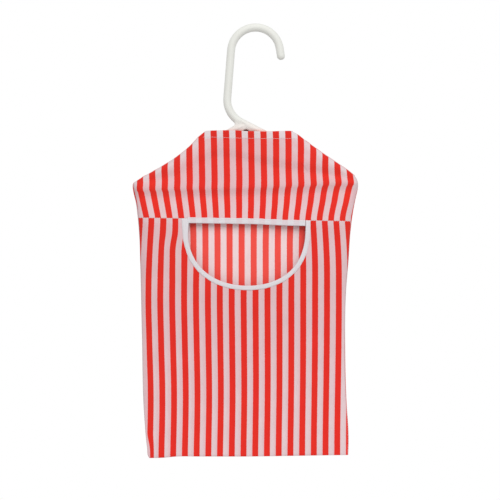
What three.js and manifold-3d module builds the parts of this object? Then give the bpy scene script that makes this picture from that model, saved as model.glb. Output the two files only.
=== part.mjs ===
// Peg bag: a striped cloth bag hung on a one-piece plastic hanger.
// Millimetres, +Z up, the front faces -Y. The origin is the hook's seat, the inside top of the
// hook, where a line or rail carries the bag.

import * as THREE from 'three';
import { mergeVertices } from 'three/addons/utils/BufferGeometryUtils.js';
import Module from 'manifold-3d';

const wasm = await Module();
wasm.setup();

// Hanger: round section, bent radii and lengths on the centre line, slopes in degrees.
// It hangs a little out of level on its hook, with the left end low and the hook's bend turned to the left.
const TUBE_DIAMETER = 9.6;
const HOOK_BEND_RADIUS = 29.4;
const HOOK_SHIFT = -1.1;
const HOOK_TIP_LENGTH = 14.4;
const HOOK_TIP_LEAN = 7.8;
const STEM_LEAN = 5.7;
const NECK_BEND_RADIUS = 30;
const NECK_SHIFT = -15.8;
const NECK_DROP = 110.9;
const NECK_WEB_THICKNESS = 5;
const NECK_WEB_REACH = 26;
const HANGER_WIDTH = 262.7;
const HANGER_TILT = 1.2;
const ARM_DROP = 79.1;
const END_BEND_RADIUS = 6.5;

// Cloth: one thickness for the panels, another for the binding tape, and the sewing thread
const CLOTH_THICKNESS = 0.6;
const TAPE_THICKNESS = 0.5;
const THREAD_DIAMETER = 0.5;
const TOUCH_GAP = 0.3;

// Bag outline, hung on the hanger's arms and tapering below them
const TOP_WIDTH = 103;
const HEM_HEIGHT = 9;
const SHOULDER_SLOPE = 33.6;
const YOKE_BELOW_BAR = 34.7;
const YOKE_TAPER = 7;
const POCKET_HEIGHT = 284;
const POCKET_TAPER = 7.5;
const BOTTOM_DEPTH = 3;

// Slack between the cloth and the hanger, across its faces and at its two ends
const FACE_EASE = 1;
const END_EASE = 3.1;

// Mouth: a D under the yoke, with bound edges, cut a little to the right of the middle
const MOUTH_SHIFT = 0.4;
const MOUTH_WIDTH = 142;
const MOUTH_HEIGHT = 80;
const MOUTH_SIDE_CURVE = 1.9;
const MOUTH_FOOT_CURVE = 2.8;
const YOKE_TONGUE = 6.8;
const BINDING_WIDTH = 5.8;
const STITCH_INSET = 1.2;

// Smoothness of the faceted curves
const TUBE_SIDES = 12;
const ARC_DIVISIONS = 7;
const THREAD_SIDES = 6;
const ROLL_STEPS = 4;
const CORNER_STEPS = 8;
const POCKET_STEPS = 7;
const MOUTH_STEPS = 36;
const TIP_RING_ANGLES = [25, 50, 75];

const TUBE_RADIUS = TUBE_DIAMETER / 2;
const THREAD_RADIUS = THREAD_DIAMETER / 2;
const radians = THREE.MathUtils.degToRad;
const at = (x, z) => new THREE.Vector2(x, z);
const heading = (angle) => at(Math.cos(angle), Math.sin(angle));

// A closed surface turned so that its faces point out
function facingOut(positions, index) {
  let volume = 0;
  const corner = (i) => new THREE.Vector3().fromArray(positions, 3 * index[i]);
  for (let i = 0; i < index.length; i += 3) {
    volume += corner(i).dot(corner(i + 1).cross(corner(i + 2)));
  }
  const geometry = new THREE.BufferGeometry();
  geometry.setAttribute('position', new THREE.Float32BufferAttribute(positions, 3));
  geometry.setIndex(volume < 0 ? index.reverse() : index);
  return geometry;
}

// A closed solid through a row of rings that share one section
function loft(rings, section) {
  const sides = section.length;
  const last = (rings.length - 1) * sides;
  const index = [];
  for (let start = 0; start < last; start += sides) {
    for (let i = 0; i < sides; i++) {
      const next = (i + 1) % sides;
      index.push(start + i, start + next, start + sides + next);
      index.push(start + i, start + sides + next, start + sides + i);
    }
  }
  for (const [a, b, c] of THREE.ShapeUtils.triangulateShape(section, [])) {
    index.push(c, b, a, last + a, last + b, last + c);
  }
  return facingOut(rings.flat().flatMap((point) => point.toArray()), index);
}

// A round rod along points that lie in or close to an upright plane facing the front
function rod(points, radius, sides, roundStart = false) {
  const section = [];
  for (let i = 0; i < sides; i++) section.push(heading((2 * Math.PI * i) / sides));
  const ring = (centre, along, size) => section.map((corner) => new THREE.Vector3(
    centre.x - along.z * corner.x * size,
    centre.y + corner.y * size,
    centre.z + along.x * corner.x * size,
  ));
  const rings = points.map((point, i) => {
    const before = points[Math.max(i - 1, 0)];
    const after = points[Math.min(i + 1, points.length - 1)];
    return ring(point, after.clone().sub(before).normalize(), radius);
  });
  if (roundStart) {
    const back = points[0].clone().sub(points[1]).normalize();
    for (const angle of TIP_RING_ANGLES.map(radians)) {
      const centre = points[0].clone().addScaledVector(back, radius * Math.sin(angle));
      rings.unshift(ring(centre, back.clone().negate(), radius * Math.cos(angle)));
    }
  }
  return loft(rings, section);
}

// A plate cut to a front-view shape, through the given depths
function plate(shape, front, back) {
  const geometry = new THREE.ExtrudeGeometry(shape, { depth: back - front, bevelEnabled: false });
  return geometry.rotateX(Math.PI / 2).translate(0, back, 0);
}

// Solids for joining and cutting, and back to a mesh's geometry
function solid(geometry) {
  const bare = geometry.clone().deleteAttribute('normal').deleteAttribute('uv');
  const merged = mergeVertices(bare);
  return new wasm.Manifold(new wasm.Mesh({
    numProp: 3,
    vertProperties: new Float32Array(merged.attributes.position.array),
    triVerts: new Uint32Array(merged.index.array),
  }));
}

function geometryOf(body) {
  const { vertProperties, triVerts, numProp } = body.getMesh();
  const geometry = new THREE.BufferGeometry();
  const positions = [];
  for (let i = 0; i < vertProperties.length; i += numProp) {
    positions.push(vertProperties[i], vertProperties[i + 1], vertProperties[i + 2]);
  }
  geometry.setAttribute('position', new THREE.Float32BufferAttribute(positions, 3));
  geometry.setIndex(Array.from(triVerts));
  return geometry;
}

function piece(name, geometry, finish) {
  geometry.computeVertexNormals();
  const mesh = new THREE.Mesh(geometry, new THREE.MeshStandardMaterial(finish));
  mesh.name = name;
  return mesh;
}

// The point where a line from outside touches a circle, on its left or right as seen along the line
function touchPoint(from, centre, radius, side) {
  const toCentre = centre.clone().sub(from);
  const turn = side * Math.asin(radius / toCentre.length());
  const along = heading(toCentre.angle() + turn);
  return from.clone().addScaledVector(along, Math.sqrt(toCentre.lengthSq() - radius * radius));
}

// Hanger centre lines, before it tilts on its hook: the neck is where the left arm branches from
// the swept right arm, and both arms run straight to the end bends
const neck = at(NECK_SHIFT, -NECK_DROP);
const barHeight = -NECK_DROP - ARM_DROP;
const endReach = HANGER_WIDTH / 2 - TUBE_RADIUS - END_BEND_RADIUS;

function arm(side) {
  const endCentre = at(NECK_SHIFT + side * endReach, barHeight + END_BEND_RADIUS);
  const touch = touchPoint(neck, endCentre, END_BEND_RADIUS, side);
  const fall = touch.clone().sub(neck);
  return { endCentre, touch, slope: Math.atan2(-fall.y, Math.abs(fall.x)) };
}
const rightArm = arm(1);
const leftArm = arm(-1);

// The stem leans out from the hook's bend and turns into the right arm round the neck bend
const hookCentre = at(HOOK_SHIFT, TUBE_RADIUS - HOOK_BEND_RADIUS);
const hookStart = radians(HOOK_TIP_LEAN);
const hookEnd = Math.PI - radians(STEM_LEAN);
const stemTop = hookCentre.clone().addScaledVector(heading(hookEnd), HOOK_BEND_RADIUS);
const stemHeading = hookEnd + Math.PI / 2;
const armHeading = rightArm.touch.clone().sub(neck).angle();
const neckTurn = armHeading - stemHeading;
const stemWay = heading(stemHeading);
const armWay = heading(armHeading);
const toNeck = neck.clone().sub(stemTop);
const stemToCorner = toNeck.cross(armWay) / stemWay.cross(armWay);
const stemLength = stemToCorner - NECK_BEND_RADIUS * Math.tan(neckTurn / 2);
const stemFoot = stemTop.clone().addScaledVector(stemWay, stemLength);
const neckBendCentre = stemFoot.clone().addScaledVector(heading(stemHeading + Math.PI / 2), NECK_BEND_RADIUS);

function upright(path) {
  return path.getPoints(ARC_DIVISIONS).map((point) => new THREE.Vector3(point.x, 0, point.y));
}

function hangerGeometry() {
  const tipWay = heading(hookStart - Math.PI / 2);
  const bendStart = hookCentre.clone().addScaledVector(heading(hookStart), HOOK_BEND_RADIUS);
  const tip = bendStart.clone().addScaledVector(tipWay, HOOK_TIP_LENGTH);
  const neckStart = stemHeading - Math.PI / 2;

  // Hook tip, crown, stem, right arm and half of the bar
  const rightHalf = new THREE.Path();
  rightHalf.moveTo(tip.x, tip.y);
  rightHalf.lineTo(bendStart.x, bendStart.y);
  rightHalf.absarc(hookCentre.x, hookCentre.y, HOOK_BEND_RADIUS, hookStart, hookEnd, false);
  rightHalf.lineTo(stemFoot.x, stemFoot.y);
  rightHalf.absarc(
    neckBendCentre.x, neckBendCentre.y, NECK_BEND_RADIUS, neckStart, neckStart + neckTurn, false,
  );
  rightHalf.lineTo(rightArm.touch.x, rightArm.touch.y);
  rightHalf.absarc(
    rightArm.endCentre.x, rightArm.endCentre.y, END_BEND_RADIUS,
    Math.PI / 2 - rightArm.slope, -Math.PI / 2, true,
  );
  rightHalf.lineTo(NECK_SHIFT, barHeight);

  // The other half of the bar and the left arm, up into the neck
  const leftHalf = new THREE.Path();
  leftHalf.moveTo(NECK_SHIFT, barHeight);
  leftHalf.lineTo(leftArm.endCentre.x, barHeight);
  leftHalf.absarc(
    leftArm.endCentre.x, leftArm.endCentre.y, END_BEND_RADIUS,
    -Math.PI / 2, Math.PI / 2 + leftArm.slope - 2 * Math.PI, true,
  );
  leftHalf.lineTo(neck.x, neck.y);

  // The web stiffens the corner between the stem and the left arm, with a hollow free edge
  const neckMiddle = neckBendCentre.clone();
  neckMiddle.addScaledVector(heading(neckStart + neckTurn / 2), NECK_BEND_RADIUS);
  const leftWay = leftArm.touch.clone().sub(neck).normalize();
  const webFoot = neck.clone().addScaledVector(leftWay, NECK_WEB_REACH);
  const webHollow = neck.clone().addScaledVector(leftWay, NECK_WEB_REACH / 2);
  const web = new THREE.Shape();
  web.moveTo(neck.x, neck.y);
  web.lineTo(neckMiddle.x, neckMiddle.y);
  web.quadraticCurveTo(webHollow.x, webHollow.y, webFoot.x, webFoot.y);
  web.closePath();

  const rightRod = solid(rod(upright(rightHalf), TUBE_RADIUS, TUBE_SIDES, true));
  const leftRod = solid(rod(upright(leftHalf), TUBE_RADIUS, TUBE_SIDES));
  const webPlate = solid(plate(web, -NECK_WEB_THICKNESS / 2, NECK_WEB_THICKNESS / 2));
  return geometryOf(rightRod.add(leftRod).add(webPlate));
}

// The hanger's tilt turns it about the hook's seat. The bag hangs level, midway between its ends.
const hangerTilt = radians(HANGER_TILT);
const hung = (point) => point.clone().rotateAround(at(0, 0), hangerTilt);
const rightEnd = hung(rightArm.endCentre);
const leftEnd = hung(leftArm.endCentre);
const bagMiddle = (rightEnd.x + leftEnd.x) / 2;
const barMiddle = hung(at(NECK_SHIFT, barHeight));

// Bag outline: half width at each height, about the bag's own middle line.
// A shoulder seam sits on the hanger's higher end, so the bag hangs a little lower than that end.
const seamSeat = 2 * TOUCH_GAP + THREAD_DIAMETER;
const shoulderSlope = radians(SHOULDER_SLOPE);
const seatDrop = (END_EASE - seamSeat) / Math.cos(shoulderSlope);
const cornerRadius = END_BEND_RADIUS + TUBE_RADIUS + END_EASE + CLOTH_THICKNESS;
const corner = at((rightEnd.x - leftEnd.x) / 2, Math.max(rightEnd.y, leftEnd.y) - seatDrop);
const shoulderFoot = corner.clone();
shoulderFoot.add(at(Math.sin(shoulderSlope), Math.cos(shoulderSlope)).multiplyScalar(cornerRadius));
const topHeight = shoulderFoot.y + (shoulderFoot.x - TOP_WIDTH / 2) * Math.tan(shoulderSlope);
const seamHeight = barMiddle.y - YOKE_BELOW_BAR;
const seamHalf = corner.x + cornerRadius - YOKE_TAPER;
const bottomHeight = seamHeight - POCKET_HEIGHT;
const bottomHalf = seamHalf - POCKET_TAPER;
const sideTop = touchPoint(at(seamHalf, seamHeight), corner, cornerRadius, -1);

function halfWidth(height) {
  if (height > shoulderFoot.y) {
    return TOP_WIDTH / 2 + (topHeight - height) / Math.tan(shoulderSlope);
  }
  if (height > sideTop.y) {
    return corner.x + Math.sqrt(cornerRadius ** 2 - (height - corner.y) ** 2);
  }
  if (height > seamHeight) {
    const share = (height - seamHeight) / (sideTop.y - seamHeight);
    return seamHalf + share * (sideTop.x - seamHalf);
  }
  const share = (height - bottomHeight) / POCKET_HEIGHT;
  return bottomHalf + POCKET_TAPER * share * share;
}

// Width, across the level, of a unit step square to the outline
function edgeStretch(height) {
  const step = 0.01;
  const low = Math.max(height - step, bottomHeight);
  const high = Math.min(height + step, topHeight);
  return Math.hypot(1, (halfWidth(high) - halfWidth(low)) / (high - low));
}

// The panels stand off the middle plane by the hanger's thickness, less towards the bottom seam
const fullDepth = TUBE_RADIUS + FACE_EASE + CLOTH_THICKNESS;
const edgeRoll = fullDepth;

function depthAt(height) {
  const share = Math.min((height - bottomHeight) / POCKET_HEIGHT, 1);
  return BOTTOM_DEPTH + (fullDepth - BOTTOM_DEPTH) * share;
}

// Levels from the top edge to the bottom seam: height, roll towards the bottom, layers of cloth
function levels() {
  const list = [];
  const hemFoot = topHeight - HEM_HEIGHT;
  list.push({ height: topHeight, roll: Math.PI / 2, layers: 2 });
  list.push({ height: hemFoot, roll: Math.PI / 2, layers: 2 });
  list.push({ height: hemFoot - CLOTH_THICKNESS, roll: Math.PI / 2, layers: 1 });
  for (let i = 0; i <= CORNER_STEPS; i++) {
    const start = Math.PI / 2 - shoulderSlope;
    const end = sideTop.clone().sub(corner).angle() - 2 * Math.PI;
    const angle = start + ((end - start) * i) / CORNER_STEPS;
    list.push({ height: corner.y + cornerRadius * Math.sin(angle), roll: Math.PI / 2, layers: 1 });
  }
  const rollTop = bottomHeight + edgeRoll;
  for (let i = 0; i < POCKET_STEPS; i++) {
    const height = seamHeight + ((rollTop - seamHeight) * i) / POCKET_STEPS;
    list.push({ height, roll: Math.PI / 2, layers: 1 });
  }
  for (let i = ROLL_STEPS; i >= 0; i--) {
    list.push({ height: null, roll: (Math.PI / 2) * (i / ROLL_STEPS), layers: 1 });
  }
  return list;
}

// One panel of the bag as a thin shell whose sides and foot curl round to meet the other panel's
function panelShell(side) {
  const rows = levels();
  const columns = 2 * (ROLL_STEPS + 1);
  const skin = (inside) => rows.flatMap(({ height, roll, layers }) => {
    const wall = inside ? CLOTH_THICKNESS : 0;
    const rolled = bottomHeight + wall + (edgeRoll - wall) * (1 - Math.cos(roll));
    const level = height ?? rolled;
    const depth = depthAt(level) - (inside ? layers * CLOTH_THICKNESS : 0);
    const stretch = edgeStretch(level);
    const points = [];
    for (let i = 0; i < columns; i++) {
      const hand = i <= ROLL_STEPS ? -1 : 1;
      const curl = (Math.PI / 2) * ((hand < 0 ? i : columns - 1 - i) / ROLL_STEPS);
      const inset = wall + (edgeRoll - wall) * (1 - Math.cos(curl));
      const lift = (depth - TOUCH_GAP / 2) * Math.sin(curl) * Math.sin(roll) + TOUCH_GAP / 2;
      points.push(hand * (halfWidth(level) - inset * stretch), side * lift, level);
    }
    return points;
  });
  const outer = skin(false);
  const positions = outer.concat(skin(true));
  const inner = outer.length / 3;
  const index = [];
  const quad = (a, b, c, d) => index.push(a, b, c, a, c, d);
  for (let r = 0; r < rows.length - 1; r++) {
    for (let c = 0; c < columns - 1; c++) {
      const a = r * columns + c;
      const b = a + columns;
      quad(a, b, b + 1, a + 1);
      quad(inner + a + 1, inner + b + 1, inner + b, inner + a);
    }
    const left = r * columns;
    const right = left + columns - 1;
    quad(left, inner + left, inner + left + columns, left + columns);
    quad(right, right + columns, inner + right + columns, inner + right);
  }
  const foot = (rows.length - 1) * columns;
  for (let c = 0; c < columns - 1; c++) {
    quad(c, c + 1, inner + c + 1, inner + c);
    quad(foot + c, inner + foot + c, inner + foot + c + 1, foot + c + 1);
  }
  return solid(facingOut(positions, index));
}

// Mouth edge: half of a squared oval hanging from the yoke seam, drawn from right to left
const mouthHalf = MOUTH_WIDTH / 2;
const mouthLeft = MOUTH_SHIFT - mouthHalf;
const mouthRight = MOUTH_SHIFT + mouthHalf;
const pocketTop = seamHeight - TOUCH_GAP;

function mouthPoint(turn) {
  const squared = (value, curve) => Math.sign(value) * Math.abs(value) ** (2 / curve);
  const across = mouthHalf * squared(Math.cos(turn), MOUTH_SIDE_CURVE);
  const down = MOUTH_HEIGHT * squared(Math.sin(turn), MOUTH_FOOT_CURVE);
  return at(MOUTH_SHIFT + across, pocketTop - down);
}

const mouthEdge = [];
for (let i = 0; i <= MOUTH_STEPS; i++) mouthEdge.push(mouthPoint((Math.PI * i) / MOUTH_STEPS));

// The yoke's tongue hangs in the mouth, between the ends of the pocket's binding
const bindingWall = TOUCH_GAP + TAPE_THICKNESS;
const tongueLeft = mouthLeft + bindingWall + TOUCH_GAP;
const tongueRight = mouthRight - bindingWall - TOUCH_GAP;
const tongueFoot = seamHeight - YOKE_TONGUE;

function box(left, right, foot, head) {
  const shape = new THREE.Shape();
  shape.moveTo(left, foot);
  shape.lineTo(right, foot);
  shape.lineTo(right, head);
  shape.lineTo(left, head);
  shape.closePath();
  return shape;
}

const reach = corner.x + 2 * cornerRadius;
const cutFront = -2 * fullDepth;
const frontShell = panelShell(-1);

function yokeGeometry() {
  const above = solid(plate(box(-reach, reach, seamHeight, topHeight + reach), cutFront, 0));
  const tongue = solid(plate(box(tongueLeft, tongueRight, tongueFoot, topHeight), cutFront, 0));
  return geometryOf(frontShell.intersect(above.add(tongue)));
}

function pocketGeometry() {
  const below = solid(plate(box(-reach, reach, bottomHeight - reach, pocketTop), cutFront, 0));
  const mouth = new THREE.Shape(mouthEdge.concat(at(mouthLeft, topHeight), at(mouthRight, topHeight)));
  return geometryOf(frontShell.intersect(below).subtract(solid(plate(mouth, cutFront, 0))));
}

// A mouth edge as stations: a point on the raw edge, and the way from it into the cloth
function stations(edge, intoCloth) {
  return edge.map((point, i) => {
    const before = edge[Math.max(i - 1, 0)];
    const after = edge[Math.min(i + 1, edge.length - 1)];
    const along = after.clone().sub(before).normalize();
    return { point, into: at(-along.y, along.x).multiplyScalar(intoCloth) };
  });
}

const pocketStations = stations(mouthEdge, 1);
pocketStations[0].into.set(1, 0);
pocketStations[MOUTH_STEPS].into.set(-1, 0);
const yokeStations = stations([at(tongueLeft, tongueFoot), at(tongueRight, tongueFoot)], 1);

// A place on the front cloth: a distance in from the raw edge, and a height off its face
function onCloth({ point, into }, distance, off) {
  const place = point.clone().addScaledVector(into, distance);
  return new THREE.Vector3(place.x, -depthAt(place.y) - off, place.y);
}

// Folded tape that wraps a raw edge, front and back
function bindingGeometry(edge) {
  const frontFace = bindingWall;
  const backFace = -CLOTH_THICKNESS - bindingWall;
  const lip = BINDING_WIDTH - bindingWall;
  const section = [
    at(-bindingWall, backFace),
    at(lip, backFace),
    at(lip, -CLOTH_THICKNESS - TOUCH_GAP),
    at(-TOUCH_GAP, -CLOTH_THICKNESS - TOUCH_GAP),
    at(-TOUCH_GAP, TOUCH_GAP),
    at(lip, TOUCH_GAP),
    at(lip, frontFace),
    at(-bindingWall, frontFace),
  ];
  const rings = edge.map((station) => section.map((place) => onCloth(station, place.x, place.y)));
  return loft(rings, section);
}

// The row of stitches that holds a binding, close to the tape's inner edge
function bindingThread(edge) {
  const inset = BINDING_WIDTH - bindingWall - STITCH_INSET;
  const off = bindingWall + TOUCH_GAP + THREAD_RADIUS;
  return rod(edge.map((station) => onCloth(station, inset, off)), THREAD_RADIUS, THREAD_SIDES);
}

function levelThread(from, to, depth, height) {
  const ends = [new THREE.Vector3(from, depth, height), new THREE.Vector3(to, depth, height)];
  return rod(ends, THREAD_RADIUS, THREAD_SIDES);
}

// Hem stitches run across a panel's outer face, just above the foot of the turned-in hem
function hemThread(side) {
  const height = topHeight - HEM_HEIGHT + STITCH_INSET;
  const half = halfWidth(height) - edgeRoll * edgeStretch(height);
  return levelThread(-half, half, side * (fullDepth + TOUCH_GAP + THREAD_RADIUS), height);
}

// The yoke is sewn to the pocket inside the bag, on each side of the mouth
function yokeSeamThread(side) {
  const depth = fullDepth - CLOTH_THICKNESS - TOUCH_GAP - THREAD_RADIUS;
  const height = (seamHeight + pocketTop) / 2;
  const near = MOUTH_SHIFT + side * (mouthHalf + BINDING_WIDTH);
  const far = side * (halfWidth(height) - edgeRoll);
  return levelThread(Math.min(near, far), Math.max(near, far), -depth, height);
}

// One run of stitches joins front and back inside: down a shoulder and side, along the foot and up
function bodySeamThread() {
  const inset = CLOTH_THICKNESS + TOUCH_GAP + THREAD_RADIUS;
  const footHeight = bottomHeight + inset;
  const side = levels().filter(({ height }) => height !== null).map(({ height }) => (
    new THREE.Vector3(halfWidth(height) - inset * edgeStretch(height), 0, height)
  ));
  side.push(new THREE.Vector3(halfWidth(footHeight) - inset, 0, footHeight));
  const otherSide = side.map((point) => new THREE.Vector3(-point.x, 0, point.z)).reverse();
  return rod(side.concat(otherSide), THREAD_RADIUS, THREAD_SIDES);
}

const PLASTIC = { color: '#e4e5df', roughness: 0.45, metalness: 0 };
const STRIPED_CLOTH = { color: '#e2322a', roughness: 0.9, metalness: 0 };
const TAPE = { color: '#ded4da', roughness: 0.85, metalness: 0 };
const THREAD = { color: '#f0eaea', roughness: 0.7, metalness: 0 };

const hanger = piece('hanger', hangerGeometry(), PLASTIC);
hanger.rotation.y = -hangerTilt;

const bag = new THREE.Group();
bag.position.x = bagMiddle;
bag.add(piece('back_panel', geometryOf(panelShell(1)), STRIPED_CLOTH));
bag.add(piece('front_yoke', yokeGeometry(), STRIPED_CLOTH));
bag.add(piece('front_pocket', pocketGeometry(), STRIPED_CLOTH));
bag.add(piece('yoke_binding', bindingGeometry(yokeStations), TAPE));
bag.add(piece('pocket_binding', bindingGeometry(pocketStations), TAPE));
bag.add(piece('front_hem_thread', hemThread(-1), THREAD));
bag.add(piece('back_hem_thread', hemThread(1), THREAD));
bag.add(piece('yoke_binding_thread', bindingThread(yokeStations), THREAD));
bag.add(piece('pocket_binding_thread', bindingThread(pocketStations), THREAD));
bag.add(piece('yoke_seam_thread_left', yokeSeamThread(-1), THREAD));
bag.add(piece('yoke_seam_thread_right', yokeSeamThread(1), THREAD));
bag.add(piece('body_seam_thread', bodySeamThread(), THREAD));

const pegBag = new THREE.Group();
pegBag.add(hanger);
pegBag.add(bag);

export default pegBag;
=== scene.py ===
import math

import bpy
import numpy as np
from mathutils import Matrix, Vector


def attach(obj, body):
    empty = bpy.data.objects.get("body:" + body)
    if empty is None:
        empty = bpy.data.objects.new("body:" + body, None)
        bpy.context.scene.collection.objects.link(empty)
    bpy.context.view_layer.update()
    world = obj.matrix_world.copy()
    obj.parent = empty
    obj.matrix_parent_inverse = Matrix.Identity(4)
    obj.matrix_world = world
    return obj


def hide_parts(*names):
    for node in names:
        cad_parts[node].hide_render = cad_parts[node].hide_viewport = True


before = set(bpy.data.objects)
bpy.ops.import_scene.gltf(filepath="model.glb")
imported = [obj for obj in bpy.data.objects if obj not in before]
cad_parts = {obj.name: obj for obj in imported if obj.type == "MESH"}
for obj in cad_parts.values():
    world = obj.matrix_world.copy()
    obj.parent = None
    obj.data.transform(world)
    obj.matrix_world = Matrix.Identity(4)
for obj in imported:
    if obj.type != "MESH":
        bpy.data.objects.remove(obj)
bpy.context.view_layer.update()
scene = bpy.context.scene

# Studio: an even white surround, one broad soft lamp high in front and a little to the right, and a
# pale round floor well below the hung bag. The camera looks straight at the front, at mid height.
FRAME_SPAN = 0.6
FRAME_MIDDLE = Vector((-0.0072, 0, -0.2622))
LENS_LENGTH = 100
SENSOR_WIDTH = 36
SURROUND_LEVEL = 0.575
LAMP_PLACE = FRAME_MIDDLE + Vector((0.3, -2.0, 1.85))
LAMP_SIZE = 2.0
LAMP_POWER = 44
FLOOR_HEIGHT = -0.78
FLOOR_RADIUS = 0.85
FLOOR_COLOUR = (0.86, 0.86, 0.86, 1)
WHITE_LIGHT = (1, 1, 1, 1)

camera_data = bpy.data.cameras.new("front_camera")
camera_data.lens = LENS_LENGTH
camera_data.sensor_width = SENSOR_WIDTH
camera = bpy.data.objects.new("front_camera", camera_data)
camera.location = FRAME_MIDDLE - Vector((0, FRAME_SPAN * LENS_LENGTH / SENSOR_WIDTH, 0))
camera.rotation_euler = (math.pi / 2, 0, 0)
scene.collection.objects.link(camera)
scene.camera = camera

lamp_data = bpy.data.lights.new("soft_lamp", "AREA")
lamp_data.size = LAMP_SIZE
lamp_data.energy = LAMP_POWER
lamp = bpy.data.objects.new("soft_lamp", lamp_data)
lamp.location = LAMP_PLACE
lamp.rotation_euler = (FRAME_MIDDLE - LAMP_PLACE).to_track_quat("-Z", "Y").to_euler()
scene.collection.objects.link(lamp)


def set_inputs(tree, node, **inputs):
    """Sets a node's inputs, named with _ for a space, to plain values or to other nodes' outputs."""
    for name, value in inputs.items():
        socket = node.inputs[name.replace("_", " ")]
        if isinstance(value, bpy.types.NodeSocket):
            tree.links.new(value, socket)
        else:
            socket.default_value = value


def add_node(tree, kind, settings=None, **inputs):
    """A new node, with its settings and then its inputs."""
    node = tree.nodes.new(kind)
    for setting, value in (settings or {}).items():
        setattr(node, setting, value)
    set_inputs(tree, node, **inputs)
    return node


def calculate(tree, operation, first, second=None):
    """A Math node on sockets or plain numbers."""
    node = tree.nodes.new("ShaderNodeMath")
    node.operation = operation
    for socket, value in zip(node.inputs, (first, second)):
        if isinstance(value, (int, float)):
            socket.default_value = value
        elif value is not None:
            tree.links.new(value, socket)
    return node.outputs[0]


def new_material(name):
    """A material with its node tree and its main shader."""
    material = bpy.data.materials.new(name)
    material.use_nodes = True
    return material, material.node_tree, material.node_tree.nodes["Principled BSDF"]


# What lights the bag is the surround's level; the camera, reflections and glass see plain white.
surround = bpy.data.worlds.new("white_surround")
surround.use_nodes = True
scene.world = surround
tree = surround.node_tree
tree.nodes.clear()
light_path = add_node(tree, "ShaderNodeLightPath")
seen = light_path.outputs["Is Camera Ray"]
for ray in ("Is Glossy Ray", "Is Transmission Ray"):
    seen = calculate(tree, "MAXIMUM", seen, light_path.outputs[ray])
shown = add_node(tree, "ShaderNodeMixShader", Fac=seen)
for number, strength in ((1, SURROUND_LEVEL), (2, 1)):
    light = add_node(tree, "ShaderNodeBackground", Color=WHITE_LIGHT, Strength=strength)
    tree.links.new(light.outputs[0], shown.inputs[number])
add_node(tree, "ShaderNodeOutputWorld", Surface=shown.outputs[0])

bpy.ops.mesh.primitive_circle_add(
    vertices=96, radius=FLOOR_RADIUS, fill_type="NGON", location=(FRAME_MIDDLE.x, 0, FLOOR_HEIGHT)
)
floor = bpy.context.object
floor.name = "studio_floor"
floor_paint, tree, floor_shader = new_material("pale_floor")
set_inputs(tree, floor_shader, Base_Color=FLOOR_COLOUR, Roughness=0.9)
floor.data.materials.append(floor_paint)

scene.view_settings.view_transform = "Standard"

# Hanger: one moulding in off-white plastic, a round rod that hooks over the line, sweeps down into
# the right arm, turns back along the bar and up the left arm. A thin web stiffens the neck.
ROD_RADIUS = 0.0048
HOOK_RADIUS = 0.0294
HOOK_SHIFT = -0.0011
HOOK_TIP_LENGTH = 0.0144
HOOK_TIP_LEAN = math.radians(7.8)
STEM_LEAN = math.radians(5.7)
NECK_BEND_RADIUS = 0.0300
NECK = Vector((-0.0158, 0, -0.1109))
ARM_DROP = 0.0791
ARM_REACH = 0.12005
END_BEND_RADIUS = 0.0065
HANGER_TILT = math.radians(1.2)
ROD_SIDES = 32
PLASTIC_GRAIN = 0.0008
ROUNDING_LOSS = 0.00019
HOOK_STEPS = 56
NECK_STEPS = 20
END_STEPS = 16
TIP_ROUNDING = 0.95
RECESS_FLOOR = 0.0040
GUSSET_FACE = 0.0043
CORE_LENGTH = 0.02
# Outlines round the neck's middle: the gusset that fills the fork, and the recess cored out of it.
GUSSET = (
    (-0.0090, 0.0035), (-0.0123, 0.0024), (-0.01175, 0.0012), (-0.0116, 0.0002), (-0.0119, -0.0009),
    (-0.0128, -0.0019), (-0.0143, -0.0028), (-0.0150, -0.0100), (-0.0028, -0.0098), (-0.0018, -0.0081),
    (-0.0002, -0.0070), (0.0013, -0.0067), (0.0028, -0.0070), (0.0042, -0.0081), (0.0052, -0.0098),
    (0.0140, -0.0100), (0.0040, 0.0000), (-0.0040, 0.0050),
)
RECESS = ((-0.0060, 0.0047), (0.0020, -0.0011), (-0.0074, -0.0032))


def towards(angle):
    """A way in the bag's upright plane, by its angle from +X."""
    return Vector((math.cos(angle), 0, math.sin(angle)))


def arm_end(side):
    """The middle of an end bend, where the arm's line meets the bend, and the arm's slope."""
    middle = NECK + Vector((side * ARM_REACH, 0, END_BEND_RADIUS - ARM_DROP))
    reach = middle - NECK
    slope = math.atan2(-reach.z, abs(reach.x)) - math.asin(END_BEND_RADIUS / reach.length)
    way = Vector((side * math.cos(slope), 0, -math.sin(slope)))
    touch = NECK + way * math.sqrt(reach.length_squared - END_BEND_RADIUS ** 2)
    return middle, touch, slope


right_middle, right_touch, arm_slope = arm_end(1)
left_middle, left_touch, arm_slope = arm_end(-1)
bar_right = right_middle - Vector((0, 0, END_BEND_RADIUS))
bar_left = left_middle - Vector((0, 0, END_BEND_RADIUS))
hook_middle = Vector((HOOK_SHIFT, 0, ROD_RADIUS - HOOK_RADIUS))
hook_start = hook_middle + towards(HOOK_TIP_LEAN) * HOOK_RADIUS
hook_tip = hook_start - towards(HOOK_TIP_LEAN + math.pi / 2) * HOOK_TIP_LENGTH
stem_top = hook_middle + towards(math.pi - STEM_LEAN) * HOOK_RADIUS
stem_way = towards(1.5 * math.pi - STEM_LEAN)
neck_turn = math.pi / 2 + STEM_LEAN - arm_slope
arm_way = towards(-arm_slope)
across_stem = Vector((-arm_way.z, 0, arm_way.x))
stem_to_corner = (NECK - stem_top).dot(across_stem) / stem_way.dot(across_stem)
stem_foot = stem_top + stem_way * (stem_to_corner - NECK_BEND_RADIUS * math.tan(neck_turn / 2))
neck_bend_middle = stem_foot + towards(-STEM_LEAN) * NECK_BEND_RADIUS
neck_bend_end = neck_bend_middle + towards(-arm_slope - math.pi / 2) * NECK_BEND_RADIUS


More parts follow.
